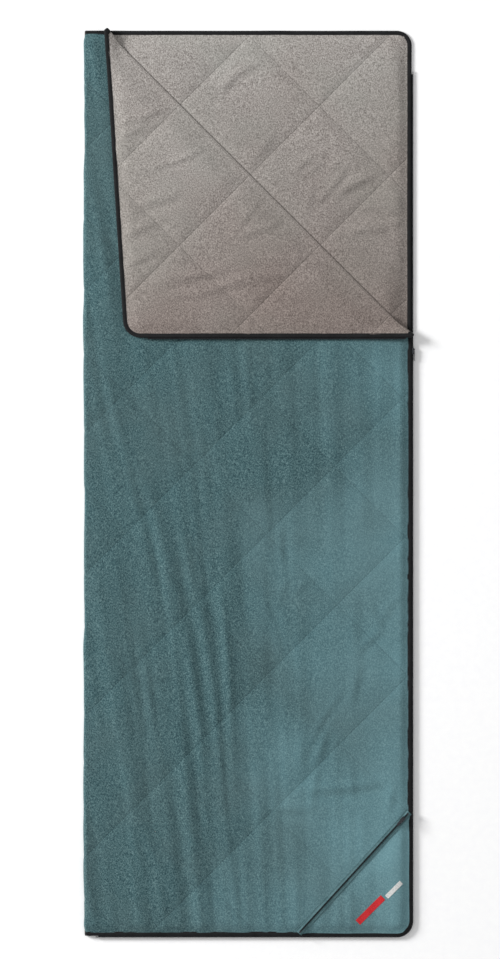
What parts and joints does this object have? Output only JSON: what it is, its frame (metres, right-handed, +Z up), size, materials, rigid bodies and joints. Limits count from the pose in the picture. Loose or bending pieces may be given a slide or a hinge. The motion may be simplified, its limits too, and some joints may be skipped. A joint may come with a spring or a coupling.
{
  "type": "quilted zip-up blanket",
  "caption": "Thin quilted wool blanket folded lengthwise, with a side and foot zip, a turned-back corner flap and a small zipped corner pocket.",
  "frame": {"origin": "centre of the folded blanket's outline, on the surface it lies on", "axes": "+X towards the zip side, +Y towards the head end, +Z up"},
  "size_m": [0.728, 1.9992, 0.0239],
  "materials": {
    "shell_cloth": "matte",
    "lining_cloth": "matte",
    "wool_batting": "matte",
    "binding_tape": "matte",
    "zip_tape": "matte",
    "zip_coil": "satin",
    "zip_metal": "satin",
    "label_weave": "matte"
  },
  "bodies": {
    "back_panel": {"back_outer_shell": "shell_cloth", "back_wool_fill": "wool_batting", "back_lining": "lining_cloth", "back_edge_binding": "binding_tape", "back_zip_tape": "zip_tape", "back_zip_coil": "zip_coil", "back_zip_top_stop": "zip_metal", "zip_bottom_stop": "zip_metal", "side_fold_shell": "shell_cloth", "side_fold_wool": "wool_batting", "side_fold_lining": "lining_cloth", "head_fold_binding": "binding_tape", "foot_fold_binding": "binding_tape"},
    "front_cover": {"front_outer_shell": "shell_cloth", "front_wool_fill": "wool_batting", "front_lining": "lining_cloth", "front_edge_binding": "binding_tape", "front_head_binding": "binding_tape", "front_zip_tape": "zip_tape", "front_zip_coil": "zip_coil", "corner_pocket_panel": "shell_cloth", "pocket_zip_tape_pocket": "zip_tape", "pocket_zip_tape_shell": "zip_tape", "pocket_zip_coil_pocket": "zip_coil", "pocket_zip_coil_shell": "zip_coil", "pocket_zip_upper_stop": "zip_metal", "pocket_zip_lower_stop": "zip_metal", "woven_label": "label_weave", "corner_fold_shell": "shell_cloth", "corner_fold_wool": "wool_batting", "corner_fold_lining": "lining_cloth", "corner_fold_head_binding": "binding_tape", "corner_fold_side_binding": "binding_tape"},
    "corner_flap": {"flap_outer_shell": "shell_cloth", "flap_wool_fill": "wool_batting", "flap_lining": "lining_cloth", "flap_edge_binding": "binding_tape", "flap_zip_tape": "zip_tape", "flap_zip_coil": "zip_coil", "flap_zip_top_stop": "zip_metal"},
    "zip_slider": {"zip_slider_body": "zip_metal"},
    "zip_pull": {"zip_pull_tab": "zip_metal"},
    "pocket_slider": {"pocket_slider_body": "zip_metal"},
    "pocket_pull": {"pocket_pull_tab": "zip_metal"}
  },
  "joints": [
    {"name": "cover_hinge", "type": "hinge", "parent": "back_panel", "child": "front_cover", "pos_m": [-0.3568, 0, 0.0072], "axis": [0, -1, 0], "range_deg": [0, 180], "deforming": ["side_fold_shell", "side_fold_wool", "side_fold_lining", "head_fold_binding", "foot_fold_binding"]},
    {"name": "flap_hinge", "type": "hinge", "parent": "front_cover", "child": "corner_flap", "pos_m": [-0.31842, 0.99342, 0.0146], "axis": [-0.7071, 0.7071, 0], "range_deg": [0, 180], "deforming": ["corner_fold_shell", "corner_fold_wool", "corner_fold_lining", "corner_fold_head_binding", "corner_fold_side_binding"]},
    {"name": "zip_slide", "type": "slide", "parent": "back_panel", "child": "zip_slider", "axis": [0, -1, 0], "range_m": [-0.6, 1.24]},
    {"name": "zip_pull_hinge", "type": "hinge", "parent": "zip_slider", "child": "zip_pull", "pos_m": [0.3631, 0.293, 0.00475], "axis": [0, 0, 1], "range_deg": [0, 180]},
    {"name": "pocket_slide", "type": "slide", "parent": "front_cover", "child": "pocket_slider", "axis": [-0.674, -0.7387, 0], "range_m": [0, 0.3]},
    {"name": "pocket_pull_hinge", "type": "hinge", "parent": "pocket_slider", "child": "pocket_pull", "pos_m": [0.3388, -0.73795, 0.0206], "axis": [-0.7387, 0.674, 0], "range_deg": [0, 180]}
  ]
}
